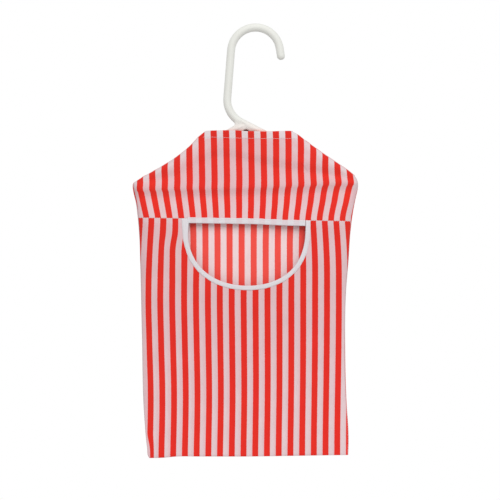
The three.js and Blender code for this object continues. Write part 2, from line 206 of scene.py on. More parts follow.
def run_on(way):
    """Draws the rod's open end on in a straight line."""
    bpy.ops.mesh.extrude_region_move(TRANSFORM_OT_translate={"value": way})


def bend(middle, angle, steps):
    """Draws the rod's open end on round a bend, clockwise as seen from the front."""
    bpy.ops.mesh.spin(steps=steps, angle=-angle, center=middle, axis=(0, 1, 0))


def pick(piece):
    """Selects one piece alone and makes it the active one."""
    bpy.ops.object.select_all(action="DESELECT")
    piece.select_set(True)
    bpy.context.view_layer.objects.active = piece


def turn_faces_out():
    """Turns all faces of the piece in hand outwards and ends its editing."""
    bpy.ops.mesh.select_all(action="SELECT")
    bpy.ops.mesh.normals_make_consistent(inside=False)
    bpy.ops.object.mode_set(mode="OBJECT")


def finish_with(piece, kind, **settings):
    """Adds a modifier to a piece and applies it."""
    pick(piece)
    modifier = piece.modifiers.new(kind.lower(), kind)
    for setting, value in settings.items():
        setattr(modifier, setting, value)
    bpy.ops.object.modifier_apply(modifier=modifier.name)


bpy.ops.mesh.primitive_circle_add(
    vertices=ROD_SIDES, radius=ROD_RADIUS + ROUNDING_LOSS, location=hook_tip,
    rotation=(0, -HOOK_TIP_LEAN, 0),
)
hanger = bpy.context.object
hanger.name = "hanger_moulding"
bpy.ops.object.transform_apply(location=True, rotation=True, scale=True)
bpy.ops.object.mode_set(mode="EDIT")
bpy.ops.mesh.select_all(action="SELECT")
run_on(hook_start - hook_tip)
bend(hook_middle, HOOK_TIP_LEAN + STEM_LEAN - math.pi, HOOK_STEPS)
run_on(stem_foot - stem_top)
bend(neck_bend_middle, -neck_turn, NECK_STEPS)
run_on(right_touch - neck_bend_end)
bend(right_middle, math.pi - arm_slope, END_STEPS)
run_on(bar_left - bar_right)
bend(left_middle, math.pi - arm_slope, END_STEPS)
run_on(NECK - left_touch)
bpy.ops.mesh.edge_face_add()
bpy.ops.mesh.select_mode(type="EDGE")
bpy.ops.mesh.select_all(action="DESELECT")
bpy.ops.mesh.select_non_manifold(extend=False)
bpy.ops.mesh.edge_face_add()
bpy.ops.mesh.bevel(offset=TIP_ROUNDING * ROD_RADIUS, segments=6, affect="EDGES")
turn_faces_out()


def neck_plate(outline, near, far):
    """A flat plate at the neck, from its outline and the depths of its two faces."""
    bpy.ops.mesh.primitive_circle_add(vertices=len(outline), radius=ROD_RADIUS, fill_type="NGON")
    plate = bpy.context.object
    for vertex, (right, up) in zip(plate.data.vertices, outline):
        vertex.co = NECK + Vector((right, near, up))
    bpy.ops.object.mode_set(mode="EDIT")
    bpy.ops.mesh.select_all(action="SELECT")
    run_on(Vector((0, far - near, 0)))
    turn_faces_out()
    return plate


neck_plate(GUSSET, -GUSSET_FACE, GUSSET_FACE)
hanger.select_set(True)
bpy.context.view_layer.objects.active = hanger
bpy.ops.object.join()
finish_with(hanger, "REMESH", mode="VOXEL", voxel_size=PLASTIC_GRAIN)
for near, far in ((-CORE_LENGTH, -RECESS_FLOOR), (RECESS_FLOOR, CORE_LENGTH)):
    core = neck_plate(RECESS, near, far)
    finish_with(hanger, "BOOLEAN", object=core, operation="DIFFERENCE", solver="EXACT")
    bpy.data.objects.remove(core)
finish_with(hanger, "REMESH", mode="VOXEL", voxel_size=PLASTIC_GRAIN)
finish_with(hanger, "SMOOTH", factor=0.5, iterations=12)
hanger.rotation_euler = (0, -HANGER_TILT, 0)
bpy.ops.object.transform_apply(location=True, rotation=True, scale=True)
bpy.ops.object.shade_smooth()

PLASTIC_COLOUR = (0.775, 0.779, 0.735, 1)
PLASTIC_DARKER = (0.735, 0.738, 0.69, 1)
PARTING_LINE_WIDTH = 0.00035
# Painted pink bounce light low on the neck: its colour, the heights where it starts and is full, and its
# share.
PAINTED_BOUNCE_TINTS = (
    ((0.84, 0.745, 0.705, 1), -0.103, -0.119, 0.75),
    ((0.84, 0.44, 0.39, 1), -0.116, -0.120, 0.7),
)


def blend_colours(tree, share, first, second):
    """A mix of two colours, each a plain colour or another node's output."""
    mixed = add_node(tree, "ShaderNodeMix", {"data_type": "RGBA"}, Factor=share, A=first, B=second)
    return mixed.outputs["Result"]


def ramp(tree, value, start, end, low, high, way="SMOOTHSTEP"):
    """A value carried over from one range to another, and held at its ends."""
    node = add_node(
        tree, "ShaderNodeMapRange", {"interpolation_type": way}, Value=value, From_Min=start,
        From_Max=end, To_Min=low, To_Max=high,
    )
    return node.outputs["Result"]


def raised(tree, height, strength, distance):
    """Normals that follow a fine relief."""
    bump = add_node(tree, "ShaderNodeBump", Strength=strength, Distance=distance, Height=height)
    return bump.outputs["Normal"]


plastic, tree, plastic_shader = new_material("satin_white_plastic")
place = add_node(tree, "ShaderNodeTexCoord").outputs["Object"]
axes = add_node(tree, "ShaderNodeSeparateXYZ", Vector=place)
flow = add_node(tree, "ShaderNodeTexNoise", Vector=place, Scale=55, Detail=3).outputs["Fac"]
tint = blend_colours(tree, flow, PLASTIC_COLOUR, PLASTIC_DARKER)
# Painted pink bounce light from the red cloth, stronger lower on the neck.
for bounce_tint, starts, full, share in PAINTED_BOUNCE_TINTS:
    tint = blend_colours(tree, ramp(tree, axes.outputs["Z"], starts, full, 0, share), tint, bounce_tint)
off_line = calculate(tree, "ABSOLUTE", axes.outputs["Y"])
ridge = ramp(tree, off_line, 0, PARTING_LINE_WIDTH, 1, 0)
set_inputs(
    tree, plastic_shader, Base_Color=tint, Roughness=ramp(tree, flow, 0, 1, 0.52, 0.68, "LINEAR"),
    Normal=raised(tree, calculate(tree, "ADD", ridge, flow), 0.5, 0.00015), IOR=1.49, Coat_Weight=0.1,
    Coat_Roughness=0.45, Sheen_Weight=1.0, Sheen_Roughness=0.4,
)
hanger.data.materials.append(plastic)

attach(hanger, "hanger")
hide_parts("hanger")

# Striped cotton: plain weave of fine thread, with even red and white stripes along its length.
# The print is paler on the wrong side, and its wrong-side colours are painted lighter still, as painted
# light inside the bag. White over a second layer looks less pink.
STRIPE_PITCH = 0.0143
RED_SHARE = 0.51
THREAD_PITCH = 0.00045
STRIPE_BLUR = 0.018
STRIPE_WOBBLE = 0.05
CROSSING_STEEPNESS = 1.2
SLUB_SCALE = (1400, 60, 1)
PAINTED_LIGHT_GAIN = 0.09
RED_FACE = (0.775, 0.0246, 0.0145, 1)
RED_PALE_REVERSE_AND_PAINTED_LIGHT = (0.92, 0.085, 0.066, 1)
WHITE_FACE = (0.742, 0.486, 0.509, 1)
RED_BACKED = (0.70, 0.0236, 0.0148, 1)
WHITE_BACKED = (0.74, 0.645, 0.66, 1)
WHITE_PALE_REVERSE_AND_PAINTED_LIGHT = (0.90, 0.69, 0.70, 1)


def new_group(name, inputs, outputs):
    """An empty shader group with its sockets: names with kinds."""
    group = bpy.data.node_groups.new(name, "ShaderNodeTree")
    for socket, kind in inputs:
        group.interface.new_socket(name=socket, in_out="INPUT", socket_type="NodeSocket" + kind)
    for socket, kind in outputs:
        group.interface.new_socket(name=socket, in_out="OUTPUT", socket_type="NodeSocket" + kind)
    return group, group.nodes.new("NodeGroupInput"), group.nodes.new("NodeGroupOutput")


weave, weave_in, weave_out = new_group(
    "plain_weave", [("Place", "Vector"), ("Pitch", "Float")], [("Height", "Float"), ("Slub", "Float")]
)
part = add_node(weave, "ShaderNodeSeparateXYZ", Vector=weave_in.outputs["Place"])
turns = calculate(weave, "DIVIDE", math.pi, weave_in.outputs["Pitch"])
warp, weft = [
    calculate(weave, "SINE", calculate(weave, "MULTIPLY", part.outputs[axis], turns)) for axis in "XY"
]
over = calculate(weave, "MULTIPLY", calculate(weave, "MULTIPLY", warp, weft), CROSSING_STEEPNESS)
warp_share = add_node(weave, "ShaderNodeClamp", Value=calculate(weave, "ADD", over, 0.5)).outputs[0]
weft_share = calculate(weave, "SUBTRACT", 1, warp_share)
warp_up = calculate(weave, "MULTIPLY", calculate(weave, "ABSOLUTE", warp), warp_share)
weft_up = calculate(weave, "MULTIPLY", calculate(weave, "ABSOLUTE", weft), weft_share)
along = add_node(weave, "ShaderNodeMapping", Vector=weave_in.outputs["Place"], Scale=SLUB_SCALE)
slub = add_node(weave, "ShaderNodeTexNoise", Vector=along.outputs[0], Scale=1, Detail=2)
set_inputs(weave, weave_out, Height=calculate(weave, "ADD", warp_up, weft_up), Slub=slub.outputs["Fac"])


def cloth_lay(tree):
    """Places on a cloth, along and across its threads, from its own UV map."""
    return add_node(tree, "ShaderNodeUVMap", {"uv_map": "lay"}).outputs["UV"]


def marked(tree, name):
    """A value that a cloth carries at each of its points."""
    return add_node(tree, "ShaderNodeAttribute", {"attribute_name": name}).outputs["Fac"]


def toned(tree, colour, level):
    """A colour made lighter or darker by a level."""
    node = add_node(tree, "ShaderNodeVectorMath", {"operation": "SCALE"}, Vector=colour, Scale=level)
    return node.outputs["Vector"]


cotton, tree, cotton_shader = new_material("striped_cotton")
lay = cloth_lay(tree)
threads = add_node(tree, "ShaderNodeGroup", {"node_tree": weave}, Place=lay, Pitch=THREAD_PITCH)
lay_axes = add_node(tree, "ShaderNodeSeparateXYZ", Vector=lay)
bleed = add_node(tree, "ShaderNodeTexNoise", Vector=lay, Scale=900, Detail=2)
bleeding = calculate(tree, "SUBTRACT", bleed.outputs["Fac"], 0.5)
wobble = calculate(tree, "MULTIPLY", bleeding, STRIPE_WOBBLE)
count = calculate(tree, "ADD", calculate(tree, "DIVIDE", lay_axes.outputs["X"], STRIPE_PITCH), wobble)
from_red = calculate(tree, "PINGPONG", count, 0.5)
in_white = ramp(tree, from_red, RED_SHARE / 2 - STRIPE_BLUR, RED_SHARE / 2 + STRIPE_BLUR, 0, 1)
backing = marked(tree, "backing")
reverse = marked(tree, "reverse")
white = blend_colours(tree, backing, WHITE_FACE, WHITE_BACKED)
# The wrong side: paler print, also painted lighter as painted light inside the bag.
white = blend_colours(tree, reverse, white, WHITE_PALE_REVERSE_AND_PAINTED_LIGHT)
red = blend_colours(tree, backing, RED_FACE, RED_BACKED)
red = blend_colours(tree, reverse, red, RED_PALE_REVERSE_AND_PAINTED_LIGHT)
striped = blend_colours(tree, in_white, red, white)
fade = add_node(tree, "ShaderNodeTexNoise", Vector=lay, Scale=45, Detail=4)
uneven = calculate(tree, "ADD", threads.outputs["Slub"], fade.outputs["Fac"])
shade = ramp(tree, uneven, 0.6, 1.4, 0.94, 1.05, "LINEAR")
# Painted light: the cloth is painted brighter where it is marked, on the yoke below the crease and low on
# the pocket.
painted_lift = calculate(tree, "ADD", calculate(tree, "MULTIPLY", marked(tree, "painted_light"), PAINTED_LIGHT_GAIN), 1)
set_inputs(
    tree, cotton_shader, Base_Color=toned(tree, striped, calculate(tree, "MULTIPLY", shade, painted_lift)),
    Normal=raised(tree, threads.outputs["Height"], 0.35, 0.00012), Roughness=0.88,
    Specular_IOR_Level=0.2, Sheen_Weight=0.08, Sheen_Roughness=0.5,
)

# Back panel: one full-height piece of the striped cotton with a hemmed top. It hangs behind the hanger,
# limp behind the mouth, and is sewn to the front, right sides together, along shoulders, sides and foot.
CLOTH_THICKNESS = 0.0005
CLOTH_CLEARANCE = 0.0004
SEAM_GAP = 0.00012
TOP_HEIGHT = -0.1199
SEAM_HEIGHT = -0.2257
FOOT_HEIGHT = -0.5100
HEM_DEPTH = 0.009
HEM_BEND = 0.00055
HEM_ROWS = 14
FOOT_BEND = 0.0038
BAG_LIFT = 0.008
BACK_FLAT = 0.0056
SIDE_DENT = 0.0020
TOP_REACH = 0.03
TOP_FLATTENING = 0.55
HEM_RISE = 0.0038
HEM_RISE_WIDTH = 0.011
HEM_REACH = 0.0105
HEM_ROOM = 0.0024
LEAST_HEM_BEND = 0.15
ARCH_MIDDLE = -0.0118
ARCH_DRAW = 0.0085
ARCH_WIDTH = 0.005
ARCH_DEPTH = 0.006
ARCH_EASE = 0.005
HOLLOW_MIDDLE = -0.0115
HOLLOW_WIDTH = 0.095
SAG_REACH = 0.03
END_LINE_STEP = 0.31
END_LINE_POINTS = 9
EDGE_PACKING = 0.2
ROLL_STEPS = 4
ROLL_STRETCH = 1.6
# Humps as middle and width, and smooth steps as start and reach.
DENT_ACROSS = (-0.086, 0.016)
DENT_HEIGHT = (-0.243, 0.022)
SEAM_RELEASE = (0.0015, 0.003)

# The bag's two edges as it hangs, as (height, place across). The left shoulder sags on to its arm.
LEFT_EDGE = (
    (-0.5118, -0.1280), (-0.5088, -0.1297), (-0.5004, -0.1306), (-0.4908, -0.1318), (-0.4728, -0.1333),
    (-0.4548, -0.1345), (-0.3648, -0.1366), (-0.2748, -0.1390), (-0.2388, -0.1405), (-0.2196, -0.1422),
    (-0.2052, -0.1441), (-0.1908, -0.1474), (-0.1855, -0.1480), (-0.1818, -0.1472), (-0.1775, -0.1408),
    (-0.1668, -0.1216), (-0.1524, -0.0980), (-0.1380, -0.0800), (-0.1236, -0.0658), (-0.1196, -0.0606),
)
RIGHT_EDGE = (
    (-0.5090, 0.1106), (-0.4908, 0.1111), (-0.4728, 0.1106), (-0.4548, 0.1093), (-0.3828, 0.1070),
    (-0.3108, 0.1081), (-0.2748, 0.1110), (-0.2388, 0.1135), (-0.2196, 0.1159), (-0.1980, 0.1200),
    (-0.1884, 0.1222), (-0.1812, 0.1224), (-0.1740, 0.1190), (-0.1668, 0.1108), (-0.1596, 0.1003),
    (-0.1452, 0.0792), (-0.1308, 0.0595), (-0.1236, 0.0503), (-0.1196, 0.0432),
)


def smooth_through(points):
    """A smooth curve of one value over another, through points in rising order."""
    places, values = np.array(points, float).T
    slopes = np.gradient(values, places)

    def curve(place):
        place = np.clip(place, places[0], places[-1])
        i = np.clip(np.searchsorted(places, place) - 1, 0, len(places) - 2)
        span = places[i + 1] - places[i]
        q = (place - places[i]) / span
        start = values[i] * (1 + 2 * q) + slopes[i] * span * q
        end = values[i + 1] * (3 - 2 * q) - slopes[i + 1] * span * (1 - q)
        return start * (1 - q) ** 2 + end * q ** 2

    return curve


left_edge = smooth_through(LEFT_EDGE)
right_edge = smooth_through(RIGHT_EDGE)
slant = smooth_through((
    (FOOT_HEIGHT, 0.0018), (SEAM_HEIGHT, -0.0021), (-0.17, -0.0004), (TOP_HEIGHT, 0.0001),
))
tuck_width = smooth_through((
    (FOOT_HEIGHT, 0.02), (-0.3, 0.024), (-0.235, 0.02), (-0.2, 0.010), (-0.182, 0.0068), (-0.155, 0.0068),
    (-0.12, 0.008),
))

# Under the left corner and low on the right the seam rolls on to the front, so the back shows past
# it as a thin line. Elsewhere the back lies a little in from the front's edge.
ROLL_FORWARD = 2
left_roll = smooth_through((
    (FOOT_HEIGHT, 0.00004), (-0.28, 0.00004), (-0.245, 0.0004), (-0.225, 0.0008), (-0.21, 0.0014),
    (-0.189, 0.0014), (-0.1815, 0.0006), (-0.176, 0.00004), (TOP_HEIGHT, 0.00004),
))
right_roll = smooth_through((
    (FOOT_HEIGHT, 0.0004), (-0.38, 0.0005), (-0.34, 0.0002), (-0.22, 0.0004), (-0.19, 0.0004),
    (-0.176, 0.00004), (TOP_HEIGHT, 0.00004),
))
left_inset = smooth_through((
    (FOOT_HEIGHT, 0.0005), (-0.28, 0.0005), (-0.24, 0), (-0.19, 0), (-0.176, 0.0002), (TOP_HEIGHT, 0.0002),
))
right_inset = smooth_through((
    (FOOT_HEIGHT, 0), (-0.21, 0), (-0.19, 0), (-0.176, 0.0002), (TOP_HEIGHT, 0.0002),
))
FRONT_SIDES = (left_roll, right_roll)
BACK_SIDES = (left_inset, right_inset)
foot_sag = smooth_through((
    (-1, -0.0001), (-0.86, 0.0001), (-0.74, 0.0012), (-0.5, 0.0009), (0, 0), (0.5, 0), (1, 0),
))


def lie(heights, columns, sides):
    """Places on the hung bag for rows of cloth at these heights: share across, x and z."""
    across, height = np.meshgrid(columns, heights)
    lean = slant(height)
    left = left_edge(height - lean) + sides[0](height - lean)
    right = right_edge(height + lean) - sides[1](height + lean)
    sag = foot_sag(across) * np.exp((FOOT_HEIGHT - height) / SAG_REACH)
    return across, left + (right - left) * (across + 1) / 2, height + lean * across + sag


def inward(x, z, sides):
    """How far a place lies in from the nearer side of a panel, square to that side."""
    step = 0.0005
    steep_left = (left_edge(z + step) - left_edge(z - step)) / (2 * step)
    steep_right = (right_edge(z + step) - right_edge(z - step)) / (2 * step)
    from_left = (x - left_edge(z) - sides[0](z)) / np.hypot(1, steep_left)
    from_right = (right_edge(z) - sides[1](z) - x) / np.hypot(1, steep_right)
    return np.maximum(np.minimum(from_left, from_right), 0)


def seam_depth(across, z):
    """How far the side seam stands forward of the bag's middle plane."""
    return ROLL_FORWARD * np.where(across < 0, left_roll(z), right_roll(z))


def above_foot(across, z):
    """How high a place stands over the bag's foot."""
    return z - (FOOT_HEIGHT + slant(FOOT_HEIGHT) * across + foot_sag(across))


def hump(place, middle, width):
    """A smooth hump, 1 at its middle."""
    return np.exp(-((place - middle) / width) ** 2)


def eased(share):
    """A smooth step from 0 to 1."""
    share = np.clip(share, 0, 1)
    return share * share * (3 - 2 * share)


def rises(place, start, reach):
    """A smooth step from 0 at its start to 1 at the end of its reach, which may point down or left."""
    return eased((place - start) / reach)


def tucked(distance, width):
    """The round fall of cloth to a seam: 0 at the seam, 1 from a width away."""
    return np.sqrt(1 - (1 - np.clip(distance / width, 0, 1)) ** 2)


def tilted(point):
    """A point of the level hanger, as it hangs."""
    cos, sin = math.cos(HANGER_TILT), math.sin(HANGER_TILT)
    return np.array((point.x * cos - point.z * sin, point.x * sin + point.z * cos))


def round_end(middle, first):
    """The rod's line round an end bend of the hanger, from the angle where it starts."""
    angles = first - END_LINE_STEP * np.arange(END_LINE_POINTS)
    return [tilted(middle + towards(angle) * END_BEND_RADIUS) for angle in angles]


bar_at = tilted((bar_left + bar_right) / 2)
rod_line = [tilted(NECK), tilted(right_touch), *round_end(right_middle, math.pi / 2 - arm_slope)]
rod_line += [tilted(bar_right), tilted(bar_left), *round_end(left_middle, -math.pi / 2)]
rod_line += [tilted(left_touch), tilted(NECK)]


def bar_height(x):
    """Height of the hanger's bar over a place across the bag."""
    return bar_at[1] + (x - bar_at[0]) * math.tan(HANGER_TILT)


def rod_reach(x, z):
    """How far the hanger's rod stands out from the middle plane here: 0 where there is none."""
    nearest = np.full(x.shape, 1.0)
    for start, end in zip(rod_line, rod_line[1:]):
        way = end - start
        share = ((x - start[0]) * way[0] + (z - start[1]) * way[1]) / max(way @ way, 1e-12)
        share = np.clip(share, 0, 1)
        gap = np.hypot(x - start[0] - share * way[0], z - start[1] - share * way[1])
        nearest = np.minimum(nearest, gap)
    return np.sqrt(np.maximum(ROD_RADIUS ** 2 - nearest ** 2, 0))


def clear_of_rod(depth, x, z, inset):
    """Keeps cloth off the hanger by its layers and a little air, at rest and with the bag lifted."""
    rod = rod_reach(x, z)
    off_seam = rises(inset, *SEAM_RELEASE)
    for rise in np.linspace(0.25, 1, 4) * BAG_LIFT:
        rod = np.maximum(rod, rod_reach(x, z + rise) * off_seam)
    layers = np.where(z > TOP_HEIGHT - HEM_REACH, 2 * HEM_BEND, CLOTH_THICKNESS)
    return np.maximum(depth, np.where(rod > 0, rod + CLOTH_CLEARANCE + layers, -1))


def settle(depth, x, z, inset, rounds):
    """Lets a stretch of cloth even out, without sinking into the hanger behind it."""
    need = clear_of_rod(np.full(x.shape, -1.0), x, z, inset)
    for _ in range(rounds):
        depth = np.maximum(depth, need)
        inner = depth[1:-1, 1:-1]
        around = depth[:-2, 1:-1] + depth[2:, 1:-1] + depth[1:-1, :-2] + depth[1:-1, 2:]
        depth[1:-1, 1:-1] = 0.5 * inner + 0.125 * around
    return np.maximum(depth, need)


def sew(name, x, y, z, stripe, outward, keep=None, backing=None, painted_light=None):
    """A sheet of striped cotton from rows of points, with thickness, as a finished object."""
    rows, columns = x.shape
    number = np.arange(rows * columns).reshape(rows, columns)
    corners = (number[:-1, :-1], number[1:, :-1], number[1:, 1:], number[:-1, 1:])
    quads = np.stack(corners if outward < 0 else corners[::-1], -1)
    quads = quads.reshape(-1, 4) if keep is None else quads[keep]
    run = np.hypot(np.hypot(np.diff(x, axis=0), np.diff(y, axis=0)), np.diff(z, axis=0))
    drop = np.vstack([np.zeros(columns), np.cumsum(run, axis=0)]) + z[0, columns // 2]
    used = np.unique(quads)
    renumber = np.zeros(rows * columns, int)
    renumber[used] = np.arange(len(used))
    points = np.stack([x, y, z], -1).reshape(-1, 3)[used]
    mesh = bpy.data.meshes.new(name)
    mesh.from_pydata(points.tolist(), [], renumber[quads].tolist())
    lay = np.stack([stripe * STRIPE_PITCH, drop], -1).reshape(-1, 2)[quads.reshape(-1)]
    mesh.uv_layers.new(name="lay").data.foreach_set("uv", lay.reshape(-1))
    for label, values in (("backing", backing), ("painted_light", painted_light)):
        values = np.zeros(x.shape) if values is None else values
        attribute = mesh.attributes.new(label, "FLOAT", "POINT")
        attribute.data.foreach_set("value", values.reshape(-1)[used])
    cloth = bpy.data.objects.new(name, mesh)
    scene.collection.objects.link(cloth)
    finish_with(cloth, "SOLIDIFY", thickness=CLOTH_THICKNESS, offset=-1)
    wrong_side = np.ones(len(cloth.data.vertices))
    wrong_side[:len(used)] = 0
    cloth.data.attributes.new("reverse", "FLOAT", "POINT").data.foreach_set("value", wrong_side)
    cloth.data.materials.append(cotton)
    bpy.ops.object.shade_smooth()
    return cloth


def hemmed(x, y, z, outward):
    """Adds rows above a panel that turn its top edge over to the inside."""
    room = np.abs(y[0])
    bend_radius = HEM_BEND * np.clip(room / HEM_ROOM, LEAST_HEM_BEND, 1)
    rows = []
    for inside in np.linspace(HEM_DEPTH, 0.001, HEM_ROWS // 2):
        rows.append((x[0], y[0] - 2 * outward * bend_radius, z[0] - inside))
    for angle in np.linspace(math.pi, 0, HEM_ROWS // 2):
        rise = bend_radius * math.sin(angle)
        back = outward * bend_radius * (1 - math.cos(angle))
        rows.append((x[0], y[0] - back, z[0] + rise))
    turned = [np.array(part) for part in zip(*rows)]
    return [np.vstack([extra, part]) for extra, part in zip(turned, (x, y, z))]


def with_rows(values, above=0, below=0):
    """A grid with its first row repeated above it and its last row below it."""
    return np.pad(values, ((above, below), (0, 0)), "edge")


def edge_packed(count):
    """Shares across a panel, from -1 to 1, closer together towards its sides."""
    share = np.linspace(-1, 1, count)
    return (1 + EDGE_PACKING) * share - EDGE_PACKING * share ** 3


foot_rows = FOOT_HEIGHT + FOOT_BEND * (1 - np.sin(np.linspace(0, math.pi / 2, 9)))
heights = np.concatenate([
    np.linspace(TOP_HEIGHT, SEAM_HEIGHT, 75)[:-1],
    np.linspace(SEAM_HEIGHT, FOOT_HEIGHT + FOOT_BEND, 130)[:-1],
    foot_rows,
])
back_depth = smooth_through((
    (FOOT_HEIGHT, 0.0044), (-0.40, 0.0048), (-0.35, 0.0036), (-0.31, 0.0014), (-0.26, -0.0008),
    (-0.240, -0.0014), (-0.227, -0.0010), (-0.214, 0.0026), (-0.205, 0.0052), (-0.195, 0.0060),
    (TOP_HEIGHT, 0.0060),
))
back_stripe_middle = smooth_through((
    (FOOT_HEIGHT, -0.0102), (-0.3, -0.0100), (-0.23, -0.0098), (TOP_HEIGHT, -0.0054),
))
back_stripe_pitch = smooth_through((
    (FOOT_HEIGHT, 0.0141), (-0.37, 0.01425), (-0.3, 0.01445), (-0.24, 0.0145), (-0.2, 0.0149),
    (TOP_HEIGHT, 0.0149),
))
# The panel is limp behind the mouth, dented on its left, and drawn in and up under the neck.
across, x, z = lie(heights, edge_packed(151), BACK_SIDES)
in_from_edge = inward(x, z, BACK_SIDES)
behind_mouth = np.exp(-((x - HOLLOW_MIDDLE) / HOLLOW_WIDTH) ** 4)
body = BACK_FLAT + (back_depth(z) - BACK_FLAT) * behind_mouth
body = body * tucked(above_foot(across, z), FOOT_BEND)
body -= SIDE_DENT * hump(x, *DENT_ACROSS) * hump(z, *DENT_HEIGHT)
near_top = hump(z, TOP_HEIGHT, TOP_REACH)
body *= 1 - TOP_FLATTENING * near_top * across ** 2
in_arch = hump(x, ARCH_MIDDLE, ARCH_WIDTH) * eased((z - TOP_HEIGHT + ARCH_DEPTH) / ARCH_EASE)
body = settle(body, x, z, in_from_edge, rounds=14) - ARCH_DRAW * in_arch
y = SEAM_GAP + (body - SEAM_GAP) * tucked(in_from_edge, tuck_width(z))
y = clear_of_rod(y, x, z, in_from_edge)
z = z + HEM_RISE * near_top * hump(x, ARCH_MIDDLE, HEM_RISE_WIDTH)
# At both sides it rolls forward round the seam, and its stripes run on round the roll.
flat = x
rolls = []
for end, hand, roll in ((0, 1, left_roll(z[:, :1])), (-1, -1, right_roll(z[:, -1:]))):
    turn = np.linspace(0, math.pi / 2, ROLL_STEPS + 1)[1:]
    edge = x[:, [end]]
    round_x = edge + hand * roll * (1 - np.cos(turn))
    round_y = 2 * SEAM_GAP - ROLL_FORWARD * roll * np.sin(turn)
    laid = edge - hand * ROLL_STRETCH * roll * turn
    rolls.append((round_x, round_y, np.repeat(z[:, [end]], ROLL_STEPS, axis=1), laid))
left_rolls = [part[:, ::-1] for part in rolls[0]]
x, y, z, flat = [np.hstack(parts) for parts in zip(left_rolls, (x, y, z, flat), rolls[1])]
stripe = (flat - back_stripe_middle(z)) / back_stripe_pitch(z) + 0.5
x, y, z = hemmed(x, y, z, 1)
stripe = with_rows(stripe, above=HEM_ROWS)
doubled = np.where(z > TOP_HEIGHT - HEM_DEPTH, 1.0, 0.0)
back_panel = sew("striped_back", x, y, z, stripe, 1, backing=doubled)
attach(back_panel, "bag")
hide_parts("back_panel")

# Front yoke: the upper front panel, cut to the hanger's shape and hemmed at the top like the back.
# Beside the mouth its foot is turned in and sewn to the pocket. Between, it hangs down as a tongue.
TONGUE_LEFT = -0.0818
TONGUE_RIGHT = 0.0590
TONGUE_FOOT = -0.2317
SEAM_FOLD = 0.0007
SEAM_ALLOWANCE = 0.0065
CLOTH_OVER_ARMS = 0.0082
POUCH = 0.0021
FOLD = 0.0026
FOLD_EASE = 0.006
FOLD_WIDTH = 0.013
LEAST_FALL = 0.002
LEFT_SLACK = 0.78
SLACK_GAIN = 0.22
POUCH_HEIGHT = 0.0055
POUCH_FALLS = (0.0032, 0.008)
FOLD_ROWS = 6
TURNED_IN = 0.0012
LAYER_BLUR = 0.0006
COLUMN_GAP = 0.0004
TONGUE_EDGE = 0.0002
LEAST_LIFT = 0.0001
LEFT_LIFT = 0.0011
YOKE_MIDDLE = -0.0126
BAR_SLOPE = 0.0278
STRIPE_DRAW = 0.0007
DRAW_SPAN = 0.1
ABOVE_BAR = 0.006
# Painted light: how much brighter the yoke is painted below the crease.
PAINTED_LIGHT_SHARE = 0.75
# How far the rod, the shoulder seams, the back behind the tongue and the seam's turnings show through.
ROD_SHOWS = 0.25
SHOULDER_SHOWS = 0.7
TONGUE_SHOWS = 0.22
SEAM_SHOWS = 0.35
# Humps as middle and width, and smooth steps as start and reach.
DRAW_HEIGHT = (-0.167, 0.012)
SLACK_STEP = (-0.075, 0.05)
LIFT_STEP = (-0.004, 0.045)
SHOULDER_BAND = (0.003, 0.011)
SHOULDER_STEP = (-0.193, 0.008)
TONGUE_STEP = (-0.200, -0.010)
PAINTED_LIGHT_STEP = (0.001, 0.006)
# Dips of the top edge: how deep, where and how wide.
TOP_DIPS = ((0.0012, 0.010, 0.020), (0.0005, -0.0125, 0.006), (-0.0004, -0.04, 0.02))

crease = smooth_through((
    (-0.145, -0.1954), (-0.125, -0.1950), (-0.060, -0.1944), (-0.012, -0.1934), (0.050, -0.1910),
    (0.105, -0.1878), (0.125, -0.1868),
))
below_crease = smooth_through((
    (0, 0.0082), (0.002, 0.0078), (0.004, 0.0075), (0.006, 0.0075), (0.010, 0.0078), (0.017, 0.0083),
    (0.025, 0.0087), (0.035, 0.0090), (0.055, 0.0086), (0.120, 0.0069), (0.170, 0.0056), (0.240, 0.0042),
    (0.320, 0.0014),
))
yoke_stripe_middle = smooth_through((
    (-0.2320, -0.0133), (-0.2220, -0.0132), (-0.2076, -0.0130), (-0.1980, -0.0131), (-0.1920, -0.0130),
    (-0.1860, -0.0126), (-0.1788, -0.0125), (-0.1548, -0.0129), (-0.1308, -0.0132), (-0.1212, -0.0135),
))
yoke_stripe_pitch = smooth_through((
    (-0.2330, 0.0137), (-0.2255, 0.01374), (-0.2188, 0.01388), (-0.2060, 0.01424), (-0.1940, 0.01452),
    (-0.1904, 0.01460), (-0.1893, 0.01464), (-0.1880, 0.01475), (-0.1868, 0.01478), (-0.1788, 0.01477),
    (-0.1236, 0.01488),
))


def share_across(x, height):
    """The share across the bag, from -1 to 1, of a place in the row at this height."""
    lean = slant(height)
    left = left_edge(height - lean)
    return 2 * (x - left) / (right_edge(height + lean) - left) - 1


yoke_fold = smooth_through((
    (-0.130, -0.1740), (-0.094, -0.1662), (-0.050, -0.1462), (-0.005, -0.1520), (0.039, -0.1600),
    (0.083, -0.1664), (0.115, -0.1730),
))


def front_depth(x, z):
    """How far the front cloth stands out: over the arms, in at a slack fold, and out over the bar."""
    under = crease(x) - z
    past_fold = yoke_fold(x) - z
    pouch_top = np.maximum(yoke_fold(x) - FOLD_EASE - crease(x) - 2 * POUCH_HEIGHT, LEAST_FALL)
    slack = LEFT_SLACK + SLACK_GAIN * rises(x, *SLACK_STEP)
    into_fold = eased(past_fold / FOLD_WIDTH + 0.5)
    fold = FOLD * slack * into_fold * (1 - rises(past_fold, FOLD_EASE, pouch_top))
    from_pouch = -POUCH_HEIGHT - under
    pouch = POUCH * hump(from_pouch, 0, np.where(from_pouch < 0, *POUCH_FALLS))
    return np.where(under > 0, below_crease(under), CLOTH_OVER_ARMS + pouch - fold)


